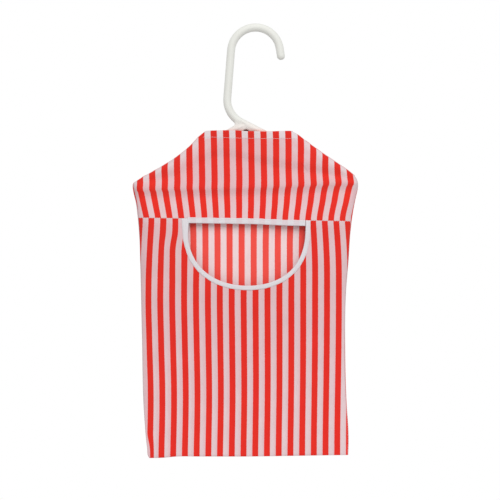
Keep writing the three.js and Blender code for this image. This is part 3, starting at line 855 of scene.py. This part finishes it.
def yoke_stripe(x, z):
    """The count of stripes on the yoke. The lines bend where the cloth turns over the tilted bar."""
    from_middle = x - YOKE_MIDDLE
    level = z - BAR_SLOPE * from_middle
    drawn_left = STRIPE_DRAW * (from_middle / DRAW_SPAN) ** 2 * hump(level, *DRAW_HEIGHT)
    return (x + drawn_left - yoke_stripe_middle(z)) / yoke_stripe_pitch(level) + 0.5


def tongue_lift(x):
    """How much higher the tongue's foot is drawn up on its left."""
    return LEAST_LIFT + LEFT_LIFT * (1 - rises(x, *LIFT_STEP))


tongue_left = share_across(TONGUE_LEFT, SEAM_HEIGHT)
tongue_right = share_across(TONGUE_RIGHT, SEAM_HEIGHT)
edge_crowded = np.sin(np.linspace(0, math.pi / 2, 36))
left_columns = tongue_left - COLUMN_GAP - (1 + tongue_left - COLUMN_GAP) * edge_crowded
right_columns = tongue_right + COLUMN_GAP + (1 - tongue_right - COLUMN_GAP) * edge_crowded
columns = np.concatenate([left_columns[::-1], np.linspace(tongue_left, tongue_right, 88), right_columns])
heights = np.linspace(TOP_HEIGHT, SEAM_HEIGHT + SEAM_FOLD, 76)
across, x, z = lie(heights, columns, FRONT_SIDES)
near_top = hump(z, TOP_HEIGHT, TOP_REACH)
body = front_depth(x, z) * (1 - TOP_FLATTENING * near_top * across ** 2)
in_from_edge = inward(x, z, FRONT_SIDES)
body = settle(body, x, z, in_from_edge, rounds=5)
seam_out = seam_depth(across, z)
y = seam_out + (body - seam_out) * tucked(in_from_edge, tuck_width(z))
y = -clear_of_rod(y, x, z, in_from_edge)
z = z - near_top * sum(dip * hump(x, middle, width) for dip, middle, width in TOP_DIPS)
# Where a second layer or the rod lies close behind, the white looks less pink.
doubled = np.where(z > bar_height(x) + ABOVE_BAR, ROD_SHOWS * rod_reach(x, z) / ROD_RADIUS, 0)
at_shoulder = 1 - rises(inward(x, z, FRONT_SIDES), *SHOULDER_BAND)
doubled = np.maximum(doubled, SHOULDER_SHOWS * rises(z, *SHOULDER_STEP) * at_shoulder)
doubled = np.maximum(doubled, TONGUE_SHOWS * rises(z, *TONGUE_STEP))
# Painted light: the yoke below the crease is painted brighter.
painted_brighter = PAINTED_LIGHT_SHARE * rises(crease(x) - z, *PAINTED_LIGHT_STEP)
in_tongue = (columns >= tongue_left) & (columns <= tongue_right)
seam_line = SEAM_HEIGHT + slant(SEAM_HEIGHT) * across
allowance = np.clip((seam_line + SEAM_ALLOWANCE - z) / LAYER_BLUR, 0, 1)
doubled = np.maximum(doubled, np.where(in_tongue, 0, SEAM_SHOWS * allowance))
# Beside the tongue the foot turns in at the seam. The tongue hangs on down to its raw edge.
turn = np.linspace(0, math.pi / 2, FOLD_ROWS)[1:, None]
fold_y = y[-1] + SEAM_FOLD * (1 - np.cos(turn))
fold_z = z[-1] - SEAM_FOLD * np.sin(turn)
hang = np.linspace(0, 1, FOLD_ROWS)[1:, None]
hang_y = y[-1] - TONGUE_EDGE * hang
hang_z = z[-1] + (TONGUE_FOOT + tongue_lift(x[-1]) - SEAM_HEIGHT - SEAM_FOLD) * hang
x = with_rows(x, below=FOLD_ROWS)
y = np.vstack([y, np.where(in_tongue, hang_y, fold_y)])
z = np.vstack([z, np.where(in_tongue, hang_z, fold_z)])
y = np.vstack([y, np.where(in_tongue, y[-1], y[-1] + TURNED_IN)])
z = np.vstack([z, np.where(in_tongue, z[-1] - TONGUE_EDGE, z[-1])])
doubled = with_rows(doubled, below=FOLD_ROWS)
painted_brighter = np.vstack([np.zeros((HEM_ROWS, len(columns))), with_rows(painted_brighter, below=FOLD_ROWS)])
stripe = yoke_stripe(x, z)
x, y, z = hemmed(x, y, z, -1)
stripe = with_rows(stripe, above=HEM_ROWS)
doubled = np.vstack([np.ones((HEM_ROWS, len(columns))), doubled])
doubled = np.maximum(doubled, np.clip((z - TOP_HEIGHT + HEM_DEPTH) / LAYER_BLUR, 0, 1))
keep = np.ones((x.shape[0] - 1, x.shape[1] - 1), bool)
beside_tongue = np.flatnonzero(in_tongue[1:] != in_tongue[:-1])
keep[-FOLD_ROWS:, beside_tongue] = False
yoke = sew("striped_yoke", x, y, z, stripe, -1, keep=keep, backing=doubled, painted_light=painted_brighter)
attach(yoke, "bag")
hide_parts("front_yoke")

# Front pocket: the lower front panel, with the D of the mouth cut out of its top edge. It hangs slack
# from the yoke and is flat towards its foot, where it is sewn to the back.
MOUTH_MIDDLE = -0.0115
MOUTH_HALF = 0.0714
MOUTH_DEPTH = 0.0796
MOUTH_SIDE_CURVE = 2.1
MOUTH_FOOT_CURVE = 2.8
MOUTH_ROUNDS = 12
MOUTH_STEP = 0.43
GAPE = 0.0012
GAPE_REACH = 0.35
RIPPLE = 0.0005
RIPPLE_RATE = 74
RIPPLE_SLANT = 6
RIPPLE_START = 0.8
RIPPLE_REACH = 0.08
CORNER_DRAW = 0.0046
# How far the back shows through: at least, where it is white, and the share of that near the mouth.
BACK_SHOWS = 0.05
WHITE_SHOWS = 0.5
TOP_SHARE = 0.4
# Humps as middle and width, and smooth steps as start and reach.
PULL_ACROSS = (-0.096, 0.016)
LOW_STEP = (-0.3, -0.2)
WHITE_STEP = (0.14, 0.2)
CORNER_DOWN = (-0.480, -0.026)
CORNER_LEFT = (-0.118, -0.012)

pocket_stripe_middle = smooth_through((
    (-0.5060, -0.0150), (-0.4908, -0.0148), (-0.4668, -0.0144), (-0.4428, -0.0141), (-0.3708, -0.0144),
    (-0.3228, -0.0148), (-0.2628, -0.0144), (-0.2292, -0.0146),
))
pocket_stripe_pitch = smooth_through((
    (-0.5060, 0.01405), (-0.4668, 0.01400), (-0.4428, 0.01400), (-0.3708, 0.01416), (-0.3228, 0.01424),
    (-0.2748, 0.01414), (-0.2508, 0.01398), (-0.2292, 0.0138),
))
heights = np.concatenate([
    np.linspace(SEAM_HEIGHT - SEAM_FOLD, FOOT_HEIGHT + FOOT_BEND, 190)[:-1],
    foot_rows,
])
across, x, z = lie(heights, edge_packed(191), FRONT_SIDES)
level = z - slant(heights)[:, None] * across
mouth_x = (x - MOUTH_MIDDLE) / MOUTH_HALF
mouth_z = (SEAM_HEIGHT - level) / MOUTH_DEPTH
# How far out of the D each place lies, 1 on its edge. Points just inside snap on to that edge.
out_of_mouth = np.full(x.shape, 1.0)
for _ in range(MOUTH_ROUNDS):
    side_share = np.abs(mouth_x / out_of_mouth) ** MOUTH_SIDE_CURVE
    foot_share = np.abs(mouth_z / out_of_mouth) ** MOUTH_FOOT_CURVE
    out_of_mouth *= np.maximum(side_share + foot_share, 1e-6) ** MOUTH_STEP
cut = out_of_mouth < 1
whole = ~(cut[:-1, :-1] & cut[1:, :-1] & cut[1:, 1:] & cut[:-1, 1:])
beside = np.zeros(cut.shape, bool)
for rows_on, columns_on in ((0, 0), (1, 0), (1, 1), (0, 1)):
    end_row = cut.shape[0] - 1 + rows_on
    end_column = cut.shape[1] - 1 + columns_on
    beside[rows_on:end_row, columns_on:end_column] |= whole
snap = np.where(cut & beside, 1 / np.maximum(out_of_mouth, 0.2), 1)
x = MOUTH_MIDDLE + (x - MOUTH_MIDDLE) * snap
z = z + (SEAM_HEIGHT - level) * (1 - snap)
gape = GAPE * hump(out_of_mouth, 1, GAPE_REACH) * np.clip(mouth_z, 0, 1)
ripple = RIPPLE * np.sin(x * RIPPLE_RATE + RIPPLE_SLANT * z + RIPPLE_START)
ripple = ripple * np.clip((SEAM_HEIGHT - z) / RIPPLE_REACH, 0, 1)
body = front_depth(x, z) + gape + ripple
body = body * tucked(above_foot(across, z), FOOT_BEND)
seam_out = seam_depth(across, z)
y = -seam_out - (body - seam_out) * tucked(inward(x, z, FRONT_SIDES), tuck_width(z))
# The top edge turns in at the seam with the yoke.
turn = np.linspace(math.pi / 2, 0, FOLD_ROWS)[:-1, None]
fold_y = y[0] + SEAM_FOLD * (1 - np.cos(turn))
fold_z = z[0] + SEAM_FOLD * np.sin(turn)
x = with_rows(x, above=FOLD_ROWS)
y = np.vstack([fold_y[:1] + TURNED_IN, fold_y, y])
z = np.vstack([fold_z[:1], fold_z, z])
keep = with_rows(whole, above=FOLD_ROWS)
seam_line = SEAM_HEIGHT + slant(SEAM_HEIGHT) * across[0]
doubled = SEAM_SHOWS * np.clip((z - seam_line + SEAM_ALLOWANCE) / LAYER_BLUR, 0, 1)
low = rises(z, *LOW_STEP)
behind = (x - back_stripe_middle(z)) / back_stripe_pitch(z) + 0.5
white_behind = rises(np.abs(behind - np.round(behind)), *WHITE_STEP)
show_through = BACK_SHOWS + WHITE_SHOWS * white_behind * (TOP_SHARE + (1 - TOP_SHARE) * low)
doubled = np.maximum(doubled, show_through)
# The stripes are pulled beside the mouth and drawn in at the left corner of the foot.
pull_along = smooth_through((
    (-0.300, 0), (-0.275, -0.0006), (-0.262, -0.0009), (-0.252, 0), (-0.245, 0.0011), (-0.2257, 0.0012),
))
pulled = pull_along(z) * hump(x, *PULL_ACROSS)
drawn_in = CORNER_DRAW * rises(z, *CORNER_DOWN) * rises(x, *CORNER_LEFT)
stripe = (x - pulled - drawn_in - pocket_stripe_middle(z)) / pocket_stripe_pitch(z)
# Painted light: the pocket is painted brighter towards its foot.
pocket = sew("striped_pocket", x, y, z, stripe, -1, keep=keep, backing=doubled, painted_light=low)
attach(pocket, "bag")
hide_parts("front_pocket")

# Bindings: white cotton tape folded over the raw edges of the mouth, one along the yoke's straight
# tongue and one round the pocket's D. The D's tape ends are caught under the yoke's edge.
STRAIGHT_WIDTH = 0.0062
STITCH_FROM_LIP = 0.0011
TAPE_COLOUR = (0.745, 0.715, 0.745, 1)
TAPE_OVER_RED = (0.73, 0.60, 0.635, 1)
TAPE_THREAD_PITCH = 0.0004
TAPE_GRIP = 0.0012
RED_BLUR = 0.07
FLARE = 0.0019
FLARE_REACH = 0.030
UNDER_YOKE = 0.0008
MILLIMETRE = 0.001
WANDER_LIFT = 600
# The tape's small wanderings: how far, how often and where they start.
TAPE_WANDER = ((0.00012, 310, 0), (0.00008, 790, 1))
# The folded tape's section: how far on to the cloth from the raw edge, as a share of its width, and
# how deep behind the cloth's face, in millimetres.
TAPE_SECTION = (
    (1, -0.34), (0.96, -0.50), (0.74, -0.62), (0.46, -0.68), (0.19, -0.67), (0.02, -0.62),
    (-0.08, -0.45), (-0.11, 0.10), (-0.07, 0.72), (0.03, 1.00), (0.19, 1.10), (0.46, 1.12),
    (0.74, 1.10), (0.96, 1.00), (1, 0.86), (1, 0.58), (0.46, 0.62), (0.05, 0.60), (-0.02, 0.25),
    (0.05, -0.10), (0.46, -0.12), (1, -0.06),
)

tape_weave, tree, tape_shader = new_material("white_tape")
lay = cloth_lay(tree)
threads = add_node(tree, "ShaderNodeGroup", {"node_tree": weave}, Place=lay, Pitch=TAPE_THREAD_PITCH)
from_red = calculate(tree, "PINGPONG", marked(tree, "under"), 0.5)
over_red = ramp(tree, from_red, RED_SHARE / 2 - RED_BLUR, RED_SHARE / 2 + RED_BLUR, 0.6, 0)
tape_tone = blend_colours(tree, over_red, TAPE_COLOUR, TAPE_OVER_RED)
shade = ramp(tree, threads.outputs["Slub"], 0.3, 0.7, 0.94, 1.04, "LINEAR")
set_inputs(
    tree, tape_shader, Base_Color=toned(tree, tape_tone, shade),
    Normal=raised(tree, threads.outputs["Height"], 0.4, 0.00012), Roughness=0.85,
    Specular_IOR_Level=0.25, Sheen_Weight=0.08, Sheen_Roughness=0.5,
)


def depths_of(cloth, places, side=-1):
    """Depths of a cloth's face over places (x, z), seen from the front (-1) or the back (1)."""
    depths = []
    for x, z in places:
        hit, place, normal, index = cloth.ray_cast(Vector((x, 0.1 * side, z)), Vector((0, -side, 0)))
        if not hit:
            hit, place, normal, index = cloth.closest_point_on_mesh(Vector((x, 0.02 * side, z)))
        depths.append(place.y)
    return np.array(depths)


def run_along(line):
    """How far along a line each of its points lies."""
    return np.concatenate([[0], np.cumsum(np.linalg.norm(np.diff(line, axis=0), axis=1))])


def smooth_piece(name, points, faces, lay, material):
    """A closed smooth piece from points and faces, with the lay of its threads as its UV map."""
    mesh = bpy.data.meshes.new(name)
    mesh.from_pydata(points, [], faces)
    corner = np.zeros(len(mesh.loops), int)
    mesh.loops.foreach_get("vertex_index", corner)
    mesh.uv_layers.new(name="lay").data.foreach_set("uv", np.array(lay)[corner].reshape(-1))
    mesh.materials.append(material)
    piece = bpy.data.objects.new(name, mesh)
    scene.collection.objects.link(piece)
    pick(piece)
    bpy.ops.object.mode_set(mode="EDIT")
    turn_faces_out()
    bpy.ops.object.shade_smooth()
    return piece


def fold_tape(name, width, edge, on_cloth, at_edge, at_lip, under):
    """A tape folded over a raw edge: its points, the way on to the cloth, and the cloth's depths."""
    section = np.array(TAPE_SECTION)
    width = np.broadcast_to(width, len(edge))[:, None]
    run = run_along(edge)
    wander = sum(far * np.sin(run * rate + start) for far, rate, start in TAPE_WANDER)[:, None]
    on = section[:, 0] * (width + wander)
    share = np.clip(section[:, 0], 0, 1)
    depth = at_edge[:, None] * (1 - share) + at_lip[:, None] * share
    lift = MILLIMETRE * section[:, 1] * (1 + WANDER_LIFT * wander)
    x = edge[:, None, 0] + on_cloth[:, None, 0] * on
    z = edge[:, None, 1] + on_cloth[:, None, 1] * on
    points = np.stack([x, depth + lift, z], -1).reshape(-1, 3)
    steps, ring = x.shape
    number = np.arange(steps * ring).reshape(steps, ring)
    beyond = np.roll(number, -1, axis=1)
    quads = np.stack([number[:-1], number[1:], beyond[1:], beyond[:-1]], -1).reshape(-1, 4)
    faces = quads.tolist() + [number[0].tolist(), number[-1][::-1].tolist()]
    girth = run_along(section * (width.mean(), MILLIMETRE))
    lay = np.stack([np.tile(girth, steps), np.repeat(run, ring)], -1)
    tape = smooth_piece(name, points.tolist(), faces, lay, tape_weave)
    count = tape.data.attributes.new("under", "FLOAT", "POINT")
    count.data.foreach_set("value", np.repeat(under, ring))
    return tape


# The straight tape, along the foot of the tongue.
tongue_x = np.linspace(TONGUE_LEFT, TONGUE_RIGHT, 141)
lean = slant(SEAM_HEIGHT) * share_across(tongue_x, SEAM_HEIGHT)
tongue_z = TONGUE_FOOT + tongue_lift(tongue_x) + lean
tongue_edge = np.stack([tongue_x, tongue_z], -1)
up = np.tile((0.0, 1.0), (len(tongue_x), 1))
at_edge = depths_of(yoke, tongue_edge + (0, TAPE_GRIP))
at_lip = depths_of(yoke, tongue_edge + (0, STRAIGHT_WIDTH))
counted = yoke_stripe(tongue_x, tongue_z)
yoke_tape = fold_tape("straight_binding", STRAIGHT_WIDTH, tongue_edge, up, at_edge, at_lip, counted)
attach(yoke_tape, "bag")
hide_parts("yoke_binding")

# The curved tape, round the D from its left end.
turn = math.pi / 2 * np.linspace(0, 1, 121) ** (MOUTH_FOOT_CURVE / 2)
half_across = MOUTH_HALF * np.abs(np.cos(turn)) ** (2 / MOUTH_SIDE_CURVE)
half_down = MOUTH_DEPTH * np.sin(turn) ** (2 / MOUTH_FOOT_CURVE)
d_x = MOUTH_MIDDLE + np.concatenate([-half_across, half_across[-2::-1]])
d_level = SEAM_HEIGHT - np.concatenate([half_down, half_down[-2::-1]])
d_z = d_level + slant(SEAM_HEIGHT) * share_across(d_x, SEAM_HEIGHT)
along = np.gradient(np.stack([d_x, d_z], -1), axis=0)
along /= np.hypot(along[:, 0], along[:, 1])[:, None]
outward = np.stack([along[:, 1], -along[:, 0]], -1)
# On its left the D's tape flares a little where it runs up under the yoke.
flare = FLARE * (1 - rises(d_level, SEAM_HEIGHT, -FLARE_REACH)) * (d_x < MOUTH_MIDDLE)
curved_width = smooth_through(((0, 0.0056), (0.2, 0.0051), (0.5, 0.0048), (1, 0.0052)))
d_width = curved_width(np.linspace(0, 1, len(d_x))) + flare
d_edge = np.stack([d_x + flare, d_z], -1)
below_fold = np.minimum(d_level, SEAM_HEIGHT - 0.002) - d_level
on_pocket = np.stack([d_edge[:, 0], d_z + below_fold], -1)
sink = UNDER_YOKE * np.clip((d_level - SEAM_HEIGHT + UNDER_YOKE) / UNDER_YOKE, 0, 1) ** 2
at_edge = depths_of(pocket, on_pocket + TAPE_GRIP * outward) + sink
at_lip = depths_of(pocket, on_pocket + d_width[:, None] * outward) + sink
counted = np.full(len(d_x), 0.5)
d_tape = fold_tape("curved_binding", d_width, d_edge, outward, at_edge, at_lip, counted)
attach(d_tape, "bag")
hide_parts("pocket_binding")

# Stitching: white cotton sewing thread in short even stitches. It holds both hems, both bindings,
# the seams between yoke and pocket, and the one seam that closes the bag all round.
STITCH_LENGTH = 0.0026
STITCH_GAP = 0.00035
STITCH_RADIUS = 0.0002
HEM_STITCH_RADIUS = 0.00015
HEM_STITCH_GAP = 0.00015
STITCH_SIDES = 6
STITCH_STEP = 0.0006
STITCH_SINK = 0.0003
BELOW_SEAM = 0.001
HEM_STAND = 0.0001
BACK_HEM_RISE = 0.001
THREAD_COLOUR = (0.85, 0.81, 0.81, 1)
THREAD_DARKER = (0.72, 0.66, 0.67, 1)
# The rings of one stitch: place along it as a share of its length, then girth and rise in radii.
STITCH_FORM = (
    (-0.5, 0.35, -0.6), (-0.38, 0.85, 0.1), (-0.16, 1, 0.5),
    (0.16, 1, 0.5), (0.38, 0.85, 0.1), (0.5, 0.35, -0.6),
)

thread, tree, thread_shader = new_material("white_thread")
place = add_node(tree, "ShaderNodeTexCoord").outputs["Object"]
fuzz = add_node(tree, "ShaderNodeTexNoise", Vector=place, Scale=700)
strand = add_node(
    tree, "ShaderNodeTexWave", {"bands_direction": "DIAGONAL"}, Vector=cloth_lay(tree), Scale=1.6,
    Distortion=0.6,
)
set_inputs(
    tree, thread_shader, Roughness=0.7, Specular_IOR_Level=0.3,
    Base_Color=blend_colours(tree, fuzz.outputs["Fac"], THREAD_DARKER, THREAD_COLOUR),
    Normal=raised(tree, strand.outputs["Fac"], 0.5, 0.0001),
)


def on_face(cloth, places, side=-1):
    """Points on a cloth's face over places (x, z), seen from the front (-1) or the back (1)."""
    return np.insert(places, 1, depths_of(cloth, places, side), axis=1)


def stitch(name, line, out, node, radius=STITCH_RADIUS, gap=STITCH_GAP):
    """A row of stitches along a line of points on cloth, each lying on the face that looks out."""
    out = np.broadcast_to(np.array(out, float), line.shape)
    run = run_along(line)
    number = max(int((run[-1] + gap) / (STITCH_LENGTH + gap)), 1)
    pitch = run[-1] / number

    def at(place, values):
        return np.array([np.interp(place, run, values[:, k]) for k in range(3)])

    points = []
    lay = []
    faces = []
    for i in range(number):
        start = len(points)
        for share, girth, rise in STITCH_FORM:
            place = (i + 0.5) * pitch + share * (pitch - gap)
            way = at(place + STITCH_STEP, line) - at(place - STITCH_STEP, line)
            way /= np.linalg.norm(way)
            beside = np.cross(way, at(place, out))
            beside /= np.linalg.norm(beside)
            normal = np.cross(beside, way)
            middle = at(place, line) + normal * rise * radius
            for angle in np.arange(STITCH_SIDES) * 2 * math.pi / STITCH_SIDES:
                spoke = math.cos(angle) * beside + math.sin(angle) * normal
                points.append(middle + girth * radius * spoke)
                lay.append((place / radius / 6, angle / math.pi))
        last = len(points) - STITCH_SIDES
        for a in range(start, last):
            b = a + 1 if (a + 1 - start) % STITCH_SIDES else a + 1 - STITCH_SIDES
            faces.append((a, b, b + STITCH_SIDES, a + STITCH_SIDES))
        faces.append(tuple(range(start + STITCH_SIDES - 1, start - 1, -1)))
        faces.append(tuple(range(last, last + STITCH_SIDES)))
    row = smooth_piece(name, points, faces, lay, thread)
    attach(row, "bag")
    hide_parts(node)
    return row


TOWARDS_FRONT = (0, -1, 0)
TOWARDS_BACK = (0, 1, 0)
hem_line = smooth_through((
    (-0.0560, -0.1270), (-0.0300, -0.1282), (0.0000, -0.1290), (0.0380, -0.1290),
))
hem_x = np.linspace(-0.0640, 0.0500, 115)
hem = np.stack([hem_x, hem_line(hem_x)], -1)
hem_thread = (HEM_STITCH_RADIUS, HEM_STITCH_GAP)
front_hem = on_face(yoke, hem) - (0, HEM_STAND, 0)
front_hem_row = stitch("front_hem_stitches", front_hem, TOWARDS_FRONT, "front_hem_thread", *hem_thread)
back_hem = on_face(back_panel, hem + (0, BACK_HEM_RISE), 1)
back_hem_row = stitch("back_hem_stitches", back_hem, TOWARDS_BACK, "back_hem_thread", *hem_thread)
straight = on_face(yoke_tape, tongue_edge[1:-1] + (0, STRAIGHT_WIDTH - STITCH_FROM_LIP))
straight_row = stitch("straight_binding_stitches", straight, TOWARDS_FRONT, "yoke_binding_thread")
sewn_along = d_edge + outward * (d_width - STITCH_FROM_LIP)[:, None]
curved = on_face(d_tape, sewn_along[3:-3])
curved_row = stitch("curved_binding_stitches", curved, TOWARDS_FRONT, "pocket_binding_thread")
for hand, reach in (("left", (-0.999, tongue_left)), ("right", (tongue_right, 0.999))):
    across, x, z = lie(np.array([SEAM_HEIGHT]), np.linspace(*reach, 60), FRONT_SIDES)
    on_fold = on_face(pocket, np.stack([x[0], z[0] - BELOW_SEAM], -1))
    sewn = on_fold + (0, STITCH_SINK, BELOW_SEAM)
    stitch(hand + "_seam_stitches", sewn, TOWARDS_FRONT, "yoke_seam_thread_" + hand)
# The bag's seam runs down its left side, along the foot and up the right side.
down = np.linspace(TOP_HEIGHT - 0.001, FOOT_HEIGHT, 400)
low = down - slant(down)
high = down + slant(down)
left_side = np.stack([left_edge(low) + left_roll(low), -ROLL_FORWARD * left_roll(low), low], -1)
right_side = np.stack([right_edge(high) - right_roll(high), -ROLL_FORWARD * right_roll(high), high], -1)
across, x, z = lie(np.array([FOOT_HEIGHT]), np.linspace(-1, 1, 200), FRONT_SIDES)
foot_side = np.stack([x[0], np.zeros(x.shape[1]), z[0]], -1)
round_bag = np.vstack([left_side, foot_side[1:-1], right_side[::-1]])
ways = np.gradient(round_bag, axis=0)
away = np.stack([ways[:, 2], np.zeros(len(ways)), -ways[:, 0]], -1)
away /= np.linalg.norm(away, axis=1)[:, None]
body_row = stitch("body_seam_stitches", round_bag - STITCH_SINK * away, away, "body_seam_thread")
